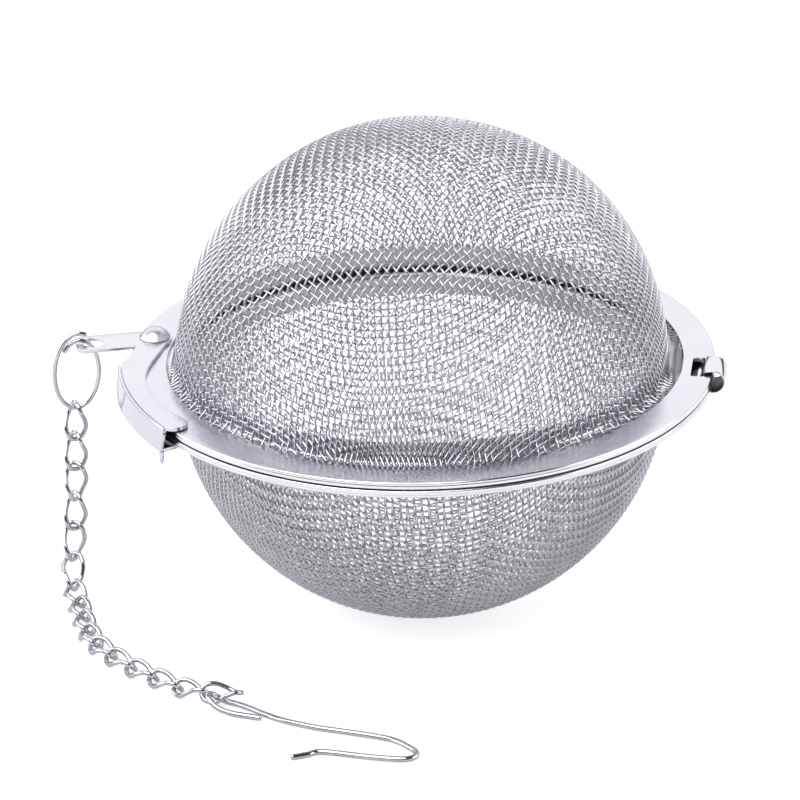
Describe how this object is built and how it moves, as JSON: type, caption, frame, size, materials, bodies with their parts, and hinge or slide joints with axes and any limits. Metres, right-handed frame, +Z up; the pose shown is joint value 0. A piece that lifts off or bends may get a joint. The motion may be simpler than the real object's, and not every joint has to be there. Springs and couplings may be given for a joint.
{
  "type": "tea infuser",
  "caption": "Woven-mesh steel tea ball: hinged half balls in rolled rims, a swinging latch, and a chain ending in a wire cup hook.",
  "frame": {"origin": "the point under the centre of the ball where it stands, on the table plane", "axes": "+Z is up through both domes; +X points from the ball's centre to the hinge; the latch and chain are on the -X side and the chain lies towards -Y"},
  "size_m": [0.081, 0.08, 0.0604],
  "materials": {
    "cloth": "woven stainless wire cloth, bright drawn wire",
    "sheet": "pressed stainless sheet, fine satin polish",
    "wire": "bright plated wire"
  },
  "bodies": {
    "lower_half": {"lower_mesh": "cloth", "lower_rim": "sheet", "lower_collar": "sheet"},
    "upper_half": {"upper_mesh": "cloth", "upper_rim": "sheet", "upper_collar": "sheet", "latch_rivet": "sheet"},
    "latch": {"latch": "sheet"},
    "chain_ring": {"chain_ring": "wire"},
    "chain_link_01": {"chain_link_01": "wire"},
    "chain_link_02": {"chain_link_02": "wire"},
    "chain_link_03": {"chain_link_03": "wire"},
    "chain_link_04": {"chain_link_04": "wire"},
    "chain_link_05": {"chain_link_05": "wire"},
    "chain_link_06": {"chain_link_06": "wire"},
    "chain_link_07": {"chain_link_07": "wire"},
    "chain_link_08": {"chain_link_08": "wire"},
    "chain_link_09": {"chain_link_09": "wire"},
    "chain_link_10": {"chain_link_10": "wire"},
    "chain_link_11": {"chain_link_11": "wire"},
    "chain_link_12": {"chain_link_12": "wire"},
    "chain_link_13": {"chain_link_13": "wire"},
    "chain_link_14": {"chain_link_14": "wire"},
    "chain_link_15": {"chain_link_15": "wire"},
    "chain_link_16": {"chain_link_16": "wire"},
    "cup_hook": {"cup_hook": "wire"}
  },
  "joints": [
    {"name": "halves_hinge", "type": "hinge", "parent": "lower_half", "child": "upper_half", "pos_m": [0.03455, 0, 0.03075], "axis": [0, 1, 0], "range_deg": [0, 170]},
    {"name": "latch_pivot", "type": "hinge", "parent": "upper_half", "child": "latch", "pos_m": [-0.03253, 0.00285, 0.0315], "axis": [0, 0, -1], "range_deg": [0, 75]},
    {"name": "ring_swing", "type": "hinge", "parent": "latch", "child": "chain_ring", "pos_m": [-0.04127, 0.00034, 0.03152], "axis": [0.2756, -0.9613, 0], "range_deg": [-15, 15]},
    {"name": "link_01_swing", "type": "hinge", "parent": "chain_ring", "child": "chain_link_01", "pos_m": [-0.04205, 0.00012, 0.02338], "axis": [0.9613, 0.2756, 0], "range_deg": [-20, 20]},
    {"name": "link_02_swing", "type": "hinge", "parent": "chain_link_01", "child": "chain_link_02", "pos_m": [-0.04221, 0.00009, 0.01923], "axis": [0.8186, 0.5735, -0.0316], "range_deg": [-20, 20]},
    {"name": "link_03_swing", "type": "hinge", "parent": "chain_link_02", "child": "chain_link_03", "pos_m": [-0.04235, 0.00006, 0.01524], "axis": [-0.7981, -0.6017, 0.0311], "range_deg": [-10, 10]},
    {"name": "link_04_swing", "type": "hinge", "parent": "chain_link_03", "child": "chain_link_04", "pos_m": [-0.04249, 0.00004, 0.01125], "axis": [0.4223, 0.9062, -0.02], "range_deg": [-20, 20]},
    {"name": "link_05_swing", "type": "hinge", "parent": "chain_link_04", "child": "chain_link_05", "pos_m": [-0.04277, -0.00001, 0.00727], "axis": [-0.775, -0.629, 0.061], "range_deg": [-10, 10]},
    {"name": "link_06_swing", "type": "hinge", "parent": "chain_link_05", "child": "chain_link_06", "pos_m": [-0.04305, -0.00054, 0.00332], "axis": [-0.3536, -0.9253, 0.1375], "range_deg": [-20, 20]},
    {"name": "link_07_swing", "type": "hinge", "parent": "chain_link_06", "child": "chain_link_07", "pos_m": [-0.04278, -0.00397, 0.00112], "axis": [0.3835, 0.5736, -0.7238], "range_deg": [-20, 20]},
    {"name": "link_08_swing", "type": "hinge", "parent": "chain_link_07", "child": "chain_link_08", "pos_m": [-0.04145, -0.00779, 0.00091], "axis": [-0.6497, -0.2888, 0.7032], "range_deg": [-20, 20]},
    {"name": "link_09_swing", "type": "hinge", "parent": "chain_link_08", "child": "chain_link_09", "pos_m": [-0.04041, -0.0115, 0.00096], "axis": [0.6797, 0.1949, -0.7071], "range_deg": [-20, 20]},
    {"name": "link_10_swing", "type": "hinge", "parent": "chain_link_09", "child": "chain_link_10", "pos_m": [-0.03927, -0.01517, 0.00096], "axis": [-0.6762, -0.2067, 0.7071], "range_deg": [-20, 20]},
    {"name": "link_11_swing", "type": "hinge", "parent": "chain_link_10", "child": "chain_link_11", "pos_m": [-0.03765, -0.01867, 0.00096], "axis": [0.646, 0.2876, -0.7071], "range_deg": [-20, 20]},
    {"name": "link_12_swing", "type": "hinge", "parent": "chain_link_11", "child": "chain_link_12", "pos_m": [-0.03519, -0.02164, 0.00096], "axis": [-0.5572, -0.4353, 0.7071], "range_deg": [-20, 20]},
    {"name": "link_13_swing", "type": "hinge", "parent": "chain_link_12", "child": "chain_link_13", "pos_m": [-0.03237, -0.02427, 0.00096], "axis": [0.4912, 0.5086, -0.7071], "range_deg": [-20, 20]},
    {"name": "link_14_swing", "type": "hinge", "parent": "chain_link_13", "child": "chain_link_14", "pos_m": [-0.02934, -0.02677, 0.00096], "axis": [-0.4545, -0.5417, 0.7071], "range_deg": [-20, 20]},
    {"name": "link_15_swing", "type": "hinge", "parent": "chain_link_14", "child": "chain_link_15", "pos_m": [-0.02608, -0.0291, 0.00096], "axis": [0.4156, 0.5721, -0.7071], "range_deg": [-20, 20]},
    {"name": "link_16_swing", "type": "hinge", "parent": "chain_link_15", "child": "chain_link_16", "pos_m": [-0.02252, -0.03093, 0.00127], "axis": [-0.3755, -0.6012, 0.7054], "range_deg": [-20, 20]},
    {"name": "hook_swing", "type": "hinge", "parent": "chain_link_16", "child": "cup_hook", "pos_m": [-0.02196, -0.03163, 0.00048], "axis": [0.8572, -0.4417, 0.2646], "range_deg": [-15, 15]}
  ]
}
